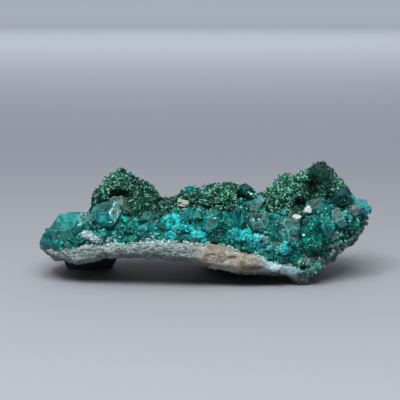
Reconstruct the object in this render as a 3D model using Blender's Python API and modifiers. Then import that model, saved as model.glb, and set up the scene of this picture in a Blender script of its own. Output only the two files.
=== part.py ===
"""A cabinet specimen of dioptase: emerald crystals in a druse on a slab of pale rock.

Mounds of fine malachite crystals sit on the druse, and a few calcite crystals sit between them.
The slab lies along X, its crystal face looks towards -Y and up, and it rests on three feet at z = 0.
The shapes are worked out in millimetres and scaled to metres as each piece is finished.
"""

import math
import random
from collections import namedtuple

import bmesh
import bpy
from mathutils import Matrix, Vector, noise
from mathutils.bvhtree import BVHTree

MM = 0.001
UP = Vector((0, 0, 1))

# Left between neighbouring pieces, so that each one is a solid of its own.
TOUCH_GAP = 0.3

# The slab at stations along its length. All columns are in millimetres: the plan's front and back
# edges (y), then the heights of the underside, of the seam between rock and druse, and of the druse.
COLUMNS = ("x", "front", "back", "underside", "seam", "crest")
STATIONS = (
    (-46.0, -3.5, 2.5, 8.2, 8.8, 9.8),
    (-41.0, -10.0, 8.5, 6.4, 9.4, 13.4),
    (-34.0, -13.0, 13.0, 5.6, 11.6, 15.6),
    (-26.0, -15.0, 15.0, 8.6, 11.4, 17.6),
    (-17.0, -16.5, 16.0, 8.6, 13.2, 19.2),
    (-5.0, -17.0, 16.5, 8.2, 12.8, 20.2),
    (3.0, -16.0, 17.0, 5.4, 12.2, 20.8),
    (11.0, -15.5, 17.0, 4.2, 9.8, 21.4),
    (20.0, -15.0, 16.0, 3.2, 6.6, 20.2),
    (28.0, -13.5, 14.0, 1.2, 4.0, 20.0),
    (34.0, -11.0, 12.5, 6.0, 8.4, 20.4),
    (40.0, -8.0, 10.0, 10.0, 12.2, 19.6),
    (44.0, -5.0, 7.0, 13.6, 15.2, 18.6),
    (46.8, -2.5, 3.0, 17.0, 17.6, 18.6),
)
SEAM_RISE = 0.15  # the seam climbs this far for each millimetre from the front edge to the back
BACK_LIP = 3.0  # and the underside this far
SEAM_OVERLAP = 2.0  # rock and druse are both made this far past the seam, then cut back to it
SEAM_CUT = (60, 40, -30, 60)  # half the cutters' length and width, their lowest and highest points
SEAM_CELLS = (26, 10, 1)

# Where the slab bears on the table: x, y, how far it bulges down, its reach along x and along y.
FEET = ((-32.0, 3.5, 10.5, 8.0, 5.4), (8.0, 11.0, 11.5, 7.0, 5.0), (27.5, -9.0, 5.0, 4.6, 4.6))

# Lumps that make each malachite mound: centre x, y, z, then the radii along x, y and z.
MOUNDS = {
    "malachite_mound_left": (
        (-24.0, 2.5, 23.0, 6.6, 7.0, 7.2),
        (-17.4, 2.0, 21.6, 5.0, 6.2, 5.8),
        (-28.0, 1.0, 21.0, 3.6, 5.0, 5.0),
        (-17.0, -4.0, 19.6, 4.6, 4.6, 4.4),
    ),
    "malachite_ridge": (
        (-4.6, 3.0, 20.4, 4.2, 5.0, 4.0),
        (1.5, 2.0, 21.2, 6.8, 5.8, 4.8),
        (6.2, 1.4, 22.0, 3.6, 5.2, 4.8),
    ),
    "malachite_mound_right": (
        (22.4, -1.0, 23.4, 5.8, 6.2, 6.3),
        (28.0, 1.4, 24.4, 4.6, 5.4, 5.6),
        (17.2, -2.0, 19.4, 4.6, 5.2, 5.2),
        (24.0, -5.4, 18.6, 3.8, 3.6, 4.0),
        (32.6, 3.2, 25.6, 5.2, 6.2, 6.3),
        (36.8, 3.0, 23.4, 4.2, 5.4, 4.8),
        (29.0, 3.0, 21.8, 5.6, 5.6, 5.0),
    ),
}
MOUND_ROOT = 1.6  # how deep a mound sits in the druse
MOUND_FACES = 260
MOUND_VOXEL = 0.9
MOUND_ROUGHNESS = 1.3
MOUND_GRAIN = 2.6
MOUND_SEED = 20.0

# Short pointed crystals that stand out of the mounds.
STUBS = 24  # on each mound
STUB_RADIUS = (0.7, 1.3)
STUB_LENGTH = (0.7, 1.3)
STUB_BURIED = 0.6  # the share of its length that reaches down into the mound
STUB_TILT = 0.6
STUB_CLEARANCE = 0.5

# The large dioptase crystals: the middle of the head x, y, z, then the direction it points in,
# the prism's radius, and its length down to the root.
LARGE_CRYSTALS = (
    # the block at the left end and its neighbours
    ((-38.6, -8.2, 15.8), (-0.62, -0.62, 0.6), 4.1, 8.5),
    ((-42.8, -6.6, 11.0), (-0.85, -0.5, 0.3), 2.8, 6.0),
    ((-39.6, -11.6, 10.8), (-0.2, -0.95, 0.15), 2.2, 5.0),
    ((-35.2, -12.8, 12.6), (0.1, -0.9, 0.35), 2.1, 5.0),
    ((-33.4, -10.6, 15.4), (0.15, -0.7, 0.8), 1.5, 4.5),
    # two milky crystals under the left mound, and a green one below them
    ((-27.6, -11.4, 18.6), (-0.25, -0.72, 0.72), 3.2, 8.0),
    ((-23.2, -10.6, 19.4), (0.25, -0.66, 0.8), 2.5, 7.0),
    ((-23.4, -13.2, 15.8), (0.1, -0.95, 0.2), 2.3, 6.0),
    # the front of the druse, left to right
    ((-28.6, -14.2, 14.0), (-0.15, -0.9, 0.35), 1.9, 5.0),
    ((-15.8, -15.4, 15.6), (-0.1, -0.85, 0.5), 2.7, 6.5),
    ((-20.0, -15.8, 13.8), (0.2, -0.92, 0.1), 2.0, 5.0),
    ((-8.6, -15.8, 16.2), (0.1, -0.8, 0.55), 2.2, 6.0),
    ((-3.0, -16.4, 15.4), (-0.2, -0.9, 0.3), 2.0, 5.5),
    ((2.4, -15.8, 16.0), (0.15, -0.85, 0.45), 2.9, 7.0),
    ((8.6, -15.2, 14.8), (-0.25, -0.85, 0.35), 2.4, 6.5),
    ((13.4, -14.8, 13.2), (0.2, -0.92, 0.25), 2.3, 6.0),
    # between the ridge and the right mound
    ((7.4, -9.6, 20.6), (-0.15, -0.6, 0.8), 2.3, 6.5),
    ((13.6, -11.8, 18.0), (0.15, -0.8, 0.55), 2.6, 7.0),
    ((14.2, -7.4, 22.4), (0.1, -0.55, 0.85), 2.3, 7.0),
    ((10.6, 3.0, 23.6), (0.1, -0.2, 0.95), 2.0, 6.0),
    # the right end
    ((22.4, -14.0, 13.2), (-0.1, -0.88, 0.45), 4.0, 9.0),
    ((20.6, -14.8, 8.8), (-0.2, -0.95, 0.1), 2.3, 6.0),
    ((29.2, -13.4, 11.6), (0.25, -0.9, 0.3), 2.9, 7.5),
    ((26.4, -13.6, 7.2), (0.1, -0.95, -0.1), 2.3, 6.0),
    ((31.4, -10.2, 18.2), (0.2, -0.75, 0.62), 3.2, 8.0),
    ((35.2, -9.8, 14.2), (0.4, -0.85, 0.2), 2.9, 7.0),
    ((39.6, -7.2, 17.2), (0.5, -0.72, 0.4), 2.6, 7.0),
    ((39.8, -4.8, 23.0), (0.6, -0.45, 0.7), 2.7, 7.5),
    ((43.2, -4.2, 19.8), (0.75, -0.45, 0.5), 2.4, 6.5),
    ((35.4, -7.2, 21.2), (0.1, -0.65, 0.75), 2.2, 6.5),
    # one that stands at the left end of the ridge
    ((-4.6, 0.6, 24.4), (-0.25, -0.25, 0.95), 1.9, 6.5),
)
SMALL_CRYSTALS = 70
SMALL_RADIUS = (1.0, 2.0)
SMALL_LENGTH = 2.4  # in radii
SMALL_SPACING = 1.2
SMALL_TILT = 0.45
SMALL_TRIES = 6000
FRONT_BIAS = 2.6  # over 1, it crowds the small crystals onto the druse's steep front
HEAD_SLOPE = 0.9  # how steeply the three faces of a dioptase head fall away from its point
ROOT_TAPER = 0.86
CRYSTAL_SEED = 5

# Calcite crystals: name, centre x, y, z, edge, and turns about x and z in degrees.
CALCITES = (
    ("calcite_crystal_left", (-32.9, -14.0, 14.6), 2.0, 25, 20),
    ("calcite_crystal_centre", (-6.2, -4.6, 21.2), 2.5, 38, 12),
    ("calcite_crystal_right", (25.0, -10.6, 18.6), 2.1, 30, 65),
    ("calcite_crystal_upper", (28.2, -8.4, 20.2), 2.0, 62, 30),
)
RHOMB_ANGLE = math.radians(102)  # between two edges of a calcite rhomb's face

# How each slab is made: its cells along x, y and z, its faces once it is simplified, how far its
# edges bulge, the size and the depth of its unevenness, the share of that depth that is left at its
# thin edges, and the seed of the unevenness.
Slab = namedtuple("Slab", "cells faces bulge grain roughness rim seed")
ROCK_SLAB = Slab((60, 20, 6), 1400, 1.6, 9.0, 0.75, 1.0, 3.0)
DRUSE_SLAB = Slab((46, 16, 4), 640, 0.8, 4.5, 1.3, 0.25, 11.0)

COLOURS = {
    "matrix": ((0.36, 0.40, 0.38), 0.9, 0.0),
    "dioptase": ((0.01, 0.21, 0.18), 0.12, 0.75),
    "malachite": ((0.04, 0.19, 0.12), 0.4, 0.0),
    "calcite": ((0.75, 0.78, 0.72), 0.3, 0.2),
}


def along(x, column):
    """One column of STATIONS at x, eased from station to station."""
    index = COLUMNS.index(column)
    if x <= STATIONS[0][0]:
        return STATIONS[0][index]
    for before, after in zip(STATIONS, STATIONS[1:]):
        if x <= after[0]:
            t = (x - before[0]) / (after[0] - before[0])
            return before[index] + (after[index] - before[index]) * t * t * (3 - 2 * t)
    return STATIONS[-1][index]


def across(x, y):
    """How far y lies from the slab's front edge, 0, to its back edge, 1."""
    front, back = along(x, "front"), along(x, "back")
    return min(1.0, max(0.0, (y - front) / (back - front)))


def underside(x, y):
    height = along(x, "underside") + BACK_LIP * across(x, y) ** 2
    for foot_x, foot_y, bulge, reach_x, reach_y in FEET:
        height -= bulge * math.exp(-(((x - foot_x) / reach_x) ** 2) - ((y - foot_y) / reach_y) ** 2)
    return height


def seam_rise(x, y):
    return SEAM_RISE * (along(x, "back") - along(x, "front")) * across(x, y) ** 1.5


def seam(x, y):
    return along(x, "seam") + seam_rise(x, y)


def druse_top(x, y):
    """The druse climbs steeply at its front and back edges and is nearly level between them."""
    share = across(x, y)
    hump = math.sin(math.pi * share**0.62) ** 0.6 if 0 < share < 1 else 0.0
    return seam(x, y) + (along(x, "crest") - along(x, "seam") - 0.6 * seam_rise(x, y)) * hump


def roughen(point, size, depth, seed):
    """A push in or out for a point of a broken surface, from lumps down to a fine grain."""
    where = point / size + Vector((seed, -seed, 2 * seed))
    return depth * (noise.noise(where) + 0.5 * noise.noise(where * 2.1) + 0.3 * noise.noise(where * 4.7))


def sliced_box(cells):
    """A unit cube from 0 to 1, cut into that many cells along x, y and z."""
    bm = bmesh.new()
    bmesh.ops.create_cube(bm, size=1.0, matrix=Matrix.Translation((0.5, 0.5, 0.5)))
    for axis, count in enumerate(cells):
        normal = Vector([float(i == axis) for i in range(3)])
        for cut in range(1, count):
            geom = bm.verts[:] + bm.edges[:] + bm.faces[:]
            bmesh.ops.bisect_plane(bm, geom=geom, plane_co=normal * cut / count, plane_no=normal)
    return bm


def new_object(name, bm):
    mesh = bpy.data.meshes.new(name)
    bmesh.ops.recalc_face_normals(bm, faces=bm.faces[:])
    bm.to_mesh(mesh)
    bm.free()
    made = bpy.data.objects.new(name, mesh)
    bpy.context.scene.collection.objects.link(made)
    return made


def settle(obj):
    """Applies the object's modifiers."""
    graph = bpy.context.evaluated_depsgraph_get()
    mesh = bpy.data.meshes.new_from_object(obj.evaluated_get(graph))
    obj.modifiers.clear()
    obj.data = mesh
    return obj


def decimate(obj, faces):
    mesh = obj.data
    mesh.calc_loop_triangles()
    modifier = obj.modifiers.new("fewer_faces", "DECIMATE")
    modifier.ratio = min(1.0, faces / len(mesh.loop_triangles))
    return settle(obj)


def combine(obj, tool, operation):
    """Joins the tool to the object, or cuts it away, and removes the tool."""
    modifier = obj.modifiers.new(operation.lower(), "BOOLEAN")
    modifier.operation = operation
    modifier.object = tool
    modifier.solver = "EXACT"
    settle(obj)
    bpy.data.objects.remove(tool)
    return obj


def is_sound(obj):
    """True if every edge of the object's skin joins exactly two faces."""
    bm = bmesh.new()
    bm.from_mesh(obj.data)
    sound = all(len(edge.link_faces) == 2 for edge in bm.edges)
    bm.free()
    return sound


def swollen(obj, distance):
    """A copy of the object with every face moved out by that distance, to cut its neighbours back with."""
    bm = bmesh.new()
    bm.from_mesh(obj.data)
    bm.normal_update()
    moved = [vert.co + vert.normal * distance * min(vert.calc_shell_factor(), 2.0) for vert in bm.verts]
    for vert, place in zip(bm.verts, moved):
        vert.co = place
    return new_object(obj.name + "_cutter", bm)


def keep_largest_island(obj):
    """Drops the chips that a cut leaves loose."""
    bm = bmesh.new()
    bm.from_mesh(obj.data)
    left = set(bm.verts)
    islands = []
    while left:
        stack = [left.pop()]
        island = set(stack)
        while stack:
            for edge in stack.pop().link_edges:
                for vert in edge.verts:
                    if vert in left:
                        left.remove(vert)
                        island.add(vert)
                        stack.append(vert)
        islands.append(island)
    islands.sort(key=len)
    loose = [vert for island in islands[:-1] for vert in island]
    bmesh.ops.delete(bm, geom=loose, context="VERTS")
    bm.to_mesh(obj.data)
    bm.free()
    return obj


def plain_material(name):
    colour, roughness, clear = COLOURS[name]
    material = bpy.data.materials.new(name)
    material.use_nodes = True
    shader = material.node_tree.nodes["Principled BSDF"]
    shader.inputs["Base Color"].default_value = (*colour, 1.0)
    shader.inputs["Roughness"].default_value = roughness
    shader.inputs["Transmission Weight"].default_value = clear
    return material


def centre_on_origin(pieces):
    """Moves the specimen along x and y so that its outer box stands centred on the origin."""
    corners = [vert.co for piece in pieces for vert in piece.data.vertices]
    middle = [(min(c[i] for c in corners) + max(c[i] for c in corners)) / 2 for i in range(2)]
    for piece in pieces:
        piece.data.transform(Matrix.Translation((-middle[0], -middle[1], 0)))


def finish(obj, material, collection):
    """Scales the piece to metres, gives it its material and files it under the specimen."""
    obj.data.transform(Matrix.Scale(MM, 4))
    obj.data.materials.clear()
    obj.data.materials.append(material)
    for user in list(obj.users_collection):
        user.objects.unlink(obj)
    collection.objects.link(obj)


def facing(direction, turn=0.0):
    """The rotation that takes +Z to the direction, after a turn about +Z."""
    return Vector(direction).to_track_quat("Z", "Y").to_matrix().to_4x4() @ Matrix.Rotation(turn, 4, "Z")


def cut_feet_flat(obj):
    """Cuts the rock off at the table, where its three feet bear on it."""
    bm = bmesh.new()
    bm.from_mesh(obj.data)
    geom = bm.verts[:] + bm.edges[:] + bm.faces[:]
    cut = bmesh.ops.bisect_plane(bm, geom=geom, plane_co=(0, 0, 0), plane_no=UP, clear_inner=True)
    rims = [item for item in cut["geom_cut"] if isinstance(item, bmesh.types.BMEdge)]
    bmesh.ops.edgenet_fill(bm, edges=rims)
    bmesh.ops.recalc_face_normals(bm, faces=bm.faces[:])
    bm.to_mesh(obj.data)
    bm.free()


def make_slab(name, kind, lower, upper):
    """A rough slab with the plan of STATIONS, between two height functions of x and y."""
    bm = sliced_box(kind.cells)
    shares = {}
    start, end = STATIONS[0][0], STATIONS[-1][0]
    for vert in bm.verts:
        u, v, w = vert.co
        x = start + (end - start) * u
        front, back = along(x, "front"), along(x, "back")
        y = front + (back - front) * v
        z = lower(x, y) + (upper(x, y) - lower(x, y)) * w
        rounding = kind.bulge * (1 - (2 * w - 1) ** 2)
        edge = (2 * v - 1) * abs(2 * v - 1) ** 3
        end_push = (2 * u - 1) ** 7
        vert.co = Vector((x + end_push * rounding * 0.5, y + edge * rounding, z))
        inside = (1 - abs(2 * u - 1) ** 8) * (1 - abs(2 * v - 1) ** 3)
        shares[vert] = kind.rim + (1 - kind.rim) * inside
    bm.normal_update()
    pushed = {}
    for vert in bm.verts:
        push = roughen(vert.co, kind.grain, kind.roughness * shares[vert], kind.seed)
        pushed[vert] = vert.co + vert.normal * push
    for vert, place in pushed.items():
        vert.co = place
    return decimate(new_object(name, bm), kind.faces)


def seam_block(name, surface, above):
    """A block that ends at a surface over the whole plan, to cut a piece off there."""
    half_length, half_width, lowest, highest = SEAM_CUT
    bm = sliced_box(SEAM_CELLS)
    for vert in bm.verts:
        u, v, w = vert.co
        x = half_length * (2 * u - 1)
        y = half_width * (2 * v - 1)
        on_surface = w < 0.5 if above else w > 0.5
        far = highest if above else lowest
        vert.co = Vector((x, y, surface(x, y) if on_surface else far))
    # by shape alone, so that blocks above and below a surface split its squares the same way
    bmesh.ops.triangulate(bm, faces=bm.faces[:], quad_method="SHORT_EDGE")
    return new_object(name, bm)


def make_matrix():
    def top(x, y):
        return seam(x, y) + SEAM_OVERLAP

    rock = make_slab("matrix", ROCK_SLAB, underside, top)
    combine(rock, seam_block("above_seam", seam, True), "DIFFERENCE")
    cut_feet_flat(rock)
    return keep_largest_island(rock)


def make_crystal(head, direction, radius, length, turn):
    """A dioptase crystal: a six-sided prism whose head is three rhombs that meet in a point.

    head is where the axis meets the level of the lowest corners of the head.
    """
    bm = bmesh.new()
    prism = bmesh.ops.create_cone(
        bm,
        cap_ends=True,
        segments=6,
        radius1=radius * ROOT_TAPER,
        radius2=radius,
        depth=length,
        matrix=Matrix.Translation((0, 0, -length / 2)),
    )
    ring = [vert for vert in prism["verts"] if vert.co.z > -length / 2]
    cap = next(face for face in ring[0].link_faces if all(vert in ring for vert in face.verts))
    peak = bmesh.ops.poke(bm, faces=[cap])["verts"][0]
    peak.co.z = HEAD_SLOPE * radius
    for vert in ring:
        corner = round(math.degrees(math.atan2(vert.co.y, vert.co.x)) / 60)
        if corner % 2:
            vert.co.z += HEAD_SLOPE * radius / 2
    place = Matrix.Translation(head) @ facing(direction, turn)
    bmesh.ops.transform(bm, matrix=place, verts=bm.verts[:])
    return new_object("crystal", bm)


def in_mound(point, margin):
    """True if the point lies inside a malachite lump, or within the margin of one."""
    for lumps in MOUNDS.values():
        for x, y, z, *radii in lumps:
            offset = [(p - c) / (r + margin) for p, c, r in zip(point, (x, y, z), radii)]
            if sum(o * o for o in offset) < 1:
                return True
    return False


def druse_normal(x, y):
    step = 0.6
    slope_x = (druse_top(x + step, y) - druse_top(x - step, y)) / (2 * step)
    slope_y = (druse_top(x, y + step) - druse_top(x, y - step)) / (2 * step)
    return Vector((-slope_x, -slope_y, 1.0)).normalized()


def scattered_crystals(rng, taken):
    """Small crystals all over the druse, clear of the mounds and of the crystals already placed."""
    start, end = STATIONS[0][0] + 2, STATIONS[-1][0] - 1
    found = []
    tries = 0
    while len(found) < SMALL_CRYSTALS and tries < SMALL_TRIES:
        tries += 1
        x = rng.uniform(start, end)
        share = 0.97 * rng.random() ** FRONT_BIAS + 0.015
        y = along(x, "front") + (along(x, "back") - along(x, "front")) * share
        point = Vector((x, y, druse_top(x, y)))
        radius = rng.uniform(*SMALL_RADIUS)
        near = any((point - other).length < SMALL_SPACING + size for other, size in taken)
        if near or in_mound(point, 0.8):
            continue
        tilt = Vector([rng.uniform(-SMALL_TILT, SMALL_TILT) for _ in range(3)])
        direction = (druse_normal(x, y) + tilt).normalized()
        found.append((point + direction * radius * 0.7, direction, radius, radius * SMALL_LENGTH))
        taken.append((point, radius))
    return found


def make_druse():
    def bottom(x, y):
        return seam(x, y) - SEAM_OVERLAP

    def druse_floor(x, y):
        return seam(x, y) + TOUCH_GAP

    druse = make_slab("dioptase_druse", DRUSE_SLAB, bottom, druse_top)
    rng = random.Random(CRYSTAL_SEED)
    taken = [(Vector(head), radius) for head, _, radius, _ in LARGE_CRYSTALS]
    for crystal in (*LARGE_CRYSTALS, *scattered_crystals(rng, taken)):
        before = druse.data.copy()
        combine(druse, make_crystal(*crystal, rng.uniform(0, math.tau)), "UNION")
        if not is_sound(druse):
            # the crystal only grazes the druse, so it is left out
            druse.data = before
    combine(druse, seam_block("below_seam", druse_floor, False), "DIFFERENCE")
    return keep_largest_island(druse)


def mound_floor(x, y):
    return max(druse_top(x, y) - MOUND_ROOT, seam(x, y) + SEAM_OVERLAP)


def socket_floor(x, y):
    return mound_floor(x, y) - TOUCH_GAP


def make_mound(name, lumps, seed):
    """Rounded lumps run together and roughened, before they are set with crystals or cut."""
    bm = bmesh.new()
    for x, y, z, *radii in lumps:
        place = Matrix.Translation((x, y, z)) @ Matrix.Diagonal((*radii, 1.0))
        bmesh.ops.create_icosphere(bm, subdivisions=4, radius=1.0, matrix=place)
    mound = new_object(name, bm)
    remesh = mound.modifiers.new("one_skin", "REMESH")
    remesh.mode = "VOXEL"
    remesh.voxel_size = MOUND_VOXEL
    settle(mound)
    for vert in mound.data.vertices:
        vert.co += vert.normal * roughen(vert.co, MOUND_GRAIN, MOUND_ROUGHNESS, seed)
    return decimate(mound, MOUND_FACES)


def mound_socket(mound):
    """The hollow in the druse that the mound sits in."""
    socket = swollen(mound, TOUCH_GAP)
    return combine(socket, seam_block("below_socket", socket_floor, False), "DIFFERENCE")


def skin_tree(pieces):
    """The skins of some pieces together, to measure the distance to them."""
    bm = bmesh.new()
    for piece in pieces:
        bm.from_mesh(piece.data)
    tree = BVHTree.FromBMesh(bm)
    bm.free()
    return tree


def make_stub(root, direction, radius, length, turn):
    """A short four-sided crystal that stands out of a mound's skin by its length."""
    bm = bmesh.new()
    depth = length * (1 + STUB_BURIED)
    place = Matrix.Translation(root + direction * (length - depth / 2)) @ facing(direction, turn)
    bmesh.ops.create_cone(
        bm, cap_ends=True, segments=4, radius1=radius, radius2=0.0, depth=depth, matrix=place
    )
    return new_object("stub", bm)


def set_stubs(mound, neighbours, seed):
    """Sets the mound with pointed crystals where they stay clear of its neighbours, and roots it."""
    rng = random.Random(seed)
    tree = skin_tree(neighbours)
    faces = list(mound.data.polygons)
    rng.shuffle(faces)
    stubs = []
    for face in faces:
        tilt = Vector([rng.uniform(-STUB_TILT, STUB_TILT) for _ in range(3)])
        direction = (face.normal + tilt).normalized()
        length = rng.uniform(*STUB_LENGTH)
        radius = rng.uniform(*STUB_RADIUS)
        tip = face.center + direction * length
        buried = face.center.z < druse_top(*face.center[:2]) + STUB_CLEARANCE
        near = min(tree.find_nearest(point)[3] for point in (tip, face.center))
        if buried or near < radius + STUB_CLEARANCE:
            continue
        stubs.append(make_stub(face.center, direction, radius, length, rng.uniform(0, math.tau)))
        if len(stubs) == STUBS:
            break
    for stub in stubs:
        combine(mound, stub, "UNION")
    return combine(mound, seam_block("below_mound", mound_floor, False), "DIFFERENCE")


def make_calcite(name, centre, edge, tip, spin):
    """A calcite rhomb: a cube squeezed along one of its diagonals."""
    bm = bmesh.new()
    bmesh.ops.create_cube(bm, size=edge)
    diagonal = Vector((1, 1, 1)).normalized()
    cosine = math.cos(RHOMB_ANGLE)
    squeeze = math.sqrt((1 + 2 * cosine) / (1 - cosine))
    shape = Matrix.Scale(squeeze, 4, diagonal)
    turn = Matrix.Rotation(math.radians(spin), 4, "Z") @ Matrix.Rotation(math.radians(tip), 4, "X")
    bmesh.ops.transform(bm, matrix=Matrix.Translation(centre) @ turn @ shape, verts=bm.verts[:])
    return new_object(name, bm)


def main():
    for obj in list(bpy.data.objects):
        bpy.data.objects.remove(obj)
    specimen = bpy.data.collections.new("dioptase_specimen")
    bpy.context.scene.collection.children.link(specimen)
    materials = {name: plain_material(name) for name in COLOURS}

    rock = make_matrix()
    druse = make_druse()
    mounds = [make_mound(name, lumps, MOUND_SEED + i) for i, (name, lumps) in enumerate(MOUNDS.items())]
    calcites = [make_calcite(*row) for row in CALCITES]
    for mound in mounds:
        combine(druse, mound_socket(mound), "DIFFERENCE")
    for calcite in calcites:
        combine(druse, swollen(calcite, TOUCH_GAP), "DIFFERENCE")
    keep_largest_island(druse)
    for seed, mound in enumerate(mounds):
        set_stubs(mound, (druse, *calcites), seed)
        for calcite in calcites:
            combine(mound, swollen(calcite, TOUCH_GAP), "DIFFERENCE")
        keep_largest_island(mound)

    centre_on_origin((rock, druse, *mounds, *calcites))
    finish(rock, materials["matrix"], specimen)
    finish(druse, materials["dioptase"], specimen)
    for mound in mounds:
        finish(mound, materials["malachite"], specimen)
    for calcite in calcites:
        finish(calcite, materials["calcite"], specimen)
    for obj in specimen.objects:
        obj.data.calc_loop_triangles()
        print(obj.name, len(obj.data.loop_triangles), "triangles")


main()
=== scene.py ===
"""The looks of a dioptase specimen: glassy emerald crystals on pale rock, with mounds of malachite.

Lengths are in millimetres and are scaled to metres as each piece is made.
"""

import math
import random

import bmesh
import bpy
import numpy as np
from mathutils import Matrix, Vector, noise
from mathutils.bvhtree import BVHTree


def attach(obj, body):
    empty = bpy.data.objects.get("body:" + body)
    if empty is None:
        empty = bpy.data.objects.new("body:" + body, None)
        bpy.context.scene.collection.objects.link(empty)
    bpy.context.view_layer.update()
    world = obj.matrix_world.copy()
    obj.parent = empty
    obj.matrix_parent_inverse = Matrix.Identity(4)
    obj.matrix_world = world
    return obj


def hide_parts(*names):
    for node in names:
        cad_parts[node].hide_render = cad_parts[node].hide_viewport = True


MM = 0.001

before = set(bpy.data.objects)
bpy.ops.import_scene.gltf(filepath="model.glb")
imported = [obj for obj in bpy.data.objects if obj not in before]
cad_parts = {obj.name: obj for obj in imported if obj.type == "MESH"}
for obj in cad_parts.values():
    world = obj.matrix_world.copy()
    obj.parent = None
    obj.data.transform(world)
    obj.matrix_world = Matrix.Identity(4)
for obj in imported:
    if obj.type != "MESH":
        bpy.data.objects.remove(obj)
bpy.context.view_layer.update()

# The camera. One pixel of the photograph is MM_PER_PIXEL wide where the camera aims.
PHOTO_SIDE = 400
MM_PER_PIXEL = 0.28
CAMERA_ELEVATION = math.radians(12)
CAMERA_DISTANCE = 450.0
SENSOR_WIDTH = 36.0
NEAREST_SEEN = 0.01
AIM = Vector((-2.0, 0.2, 21.3))

# The rock stops at RIGHT_END, a little less to the right away from its middle line. Fine crystals cover the
# end of it, between the two other lengths.
RIGHT_END = 43.6
END_ROUNDING = 0.08
RIGHT_RIM = (29.5, 43.5)

# How fine the skins are rebuilt, and how far the massive dioptase lies under the tips of its crystals where
# the rock is further off than CORE_CLEARANCE.
CORE_VOXEL = 0.7
CORE_INSET = 1.3
CORE_CLEARANCE = 2.5
ROCK_VOXEL = 0.38
MOUND_VOXEL = 0.45

# The upper outline of the specimen as the photograph shows it, in pixels.
SKYLINE = (
    (86, 215), (88.5, 210.8), (90.8, 206.3), (91.6, 202.8), (92.2, 193.6), (95.4, 187.9),
    (100, 183.3), (103.5, 178.7), (108, 173.5), (112.7, 169.5), (116, 166.6), (121.8, 166),
    (126.4, 167.2), (131, 170.7), (136.8, 173), (142.5, 176.4), (144.8, 179.8), (149.4, 182.7),
    (154, 184.4), (156.3, 187.9), (160.9, 191.3), (167.8, 191.3), (173.5, 192.5), (179.2, 190.2),
    (182.7, 186.4), (187.3, 184.5), (196.5, 184.4), (202, 183.3), (208, 182), (221.5, 180.3),
    (230, 179.5), (235.5, 179), (237.9, 182), (244.5, 185), (251.8, 188.8), (257.9, 189.4),
    (262.7, 188.8), (270, 185), (274.8, 179), (279.7, 174.2), (284.5, 170.6), (293, 171.8),
    (301.5, 169.4), (308.8, 164.5), (316, 161), (322.7, 157.9), (329.4, 163.3), (334.2, 168.2),
    (340.3, 174.2), (346.4, 182.7), (350, 190), (354, 199),
)


def camera_axes():
    """The directions to the right of the picture, up in it, and back from it to the camera."""
    back = Vector((0, -math.cos(CAMERA_ELEVATION), math.sin(CAMERA_ELEVATION)))
    right = Vector((1, 0, 0))
    return right, back.cross(right), back


def make_camera():
    back = camera_axes()[2]
    data = bpy.data.cameras.new("camera")
    data.sensor_width = SENSOR_WIDTH
    data.lens = SENSOR_WIDTH * CAMERA_DISTANCE / (PHOTO_SIDE * MM_PER_PIXEL)
    data.clip_start = NEAREST_SEEN
    camera = bpy.data.objects.new("camera", data)
    camera.location = (AIM + back * CAMERA_DISTANCE) * MM
    camera.rotation_euler = back.to_track_quat("Z", "Y").to_euler()
    bpy.context.scene.collection.objects.link(camera)
    bpy.context.scene.camera = camera


def photo_ray(x, y):
    """The start and direction of the line of sight through a pixel of the photograph."""
    right, up, back = camera_axes()
    start = AIM + back * CAMERA_DISTANCE
    across = (x - PHOTO_SIDE / 2) * MM_PER_PIXEL
    rise = (PHOTO_SIDE / 2 - y) * MM_PER_PIXEL
    return start, (AIM + right * across + up * rise - start).normalized()


def seen_at(points):
    """The pixels of the photograph that points would be seen at."""
    right, up, back = (np.array(axis) for axis in camera_axes())
    offset = np.asarray(points, float).reshape(-1, 3) - np.array(AIM)
    reach = CAMERA_DISTANCE - offset @ back
    scale = CAMERA_DISTANCE / reach / MM_PER_PIXEL
    return PHOTO_SIDE / 2 + offset @ right * scale, PHOTO_SIDE / 2 - offset @ up * scale


def off_middle(x, y, oval):
    """How far a place is from the middle of an oval in shares of its half sizes, squared."""
    middle_x, middle_y, half_x, half_y = oval
    return ((x - middle_x) / half_x) ** 2 + ((y - middle_y) / half_y) ** 2


def in_box(x, y, box):
    """Whether a place lies in a box, given by its middle and half sizes."""
    middle_x, middle_y, half_x, half_y = box
    return (np.abs(x - middle_x) < half_x) & (np.abs(y - middle_y) < half_y)


class Wire:
    """A value in a material's nodes. Sums and products of wires add the nodes that work them out."""

    def __init__(self, nodes, socket):
        self.nodes = nodes
        self.socket = socket

    def reckon(self, operation, *terms):
        return self.nodes.node("Math", {"operation": operation}, dict(enumerate(terms)))

    def __add__(self, other):
        return self.reckon("ADD", self, other)

    __radd__ = __add__

    def __sub__(self, other):
        return self.reckon("SUBTRACT", self, other)

    def __rsub__(self, other):
        return self.reckon("SUBTRACT", other, self)

    def __mul__(self, other):
        return self.reckon("MULTIPLY", self, other)

    __rmul__ = __mul__

    def step(self, low, high):
        """0 at low, 1 at high and smooth between them."""
        settings = {"interpolation_type": "SMOOTHSTEP"}
        return self.nodes.node("MapRange", settings, {"Value": self, "From Min": low, "From Max": high})


# The sockets of a Mix node that mixes colours.
MIX_SHARE, MIX_FIRST, MIX_SECOND, MIX_RESULT = 0, 6, 7, 2


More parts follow.
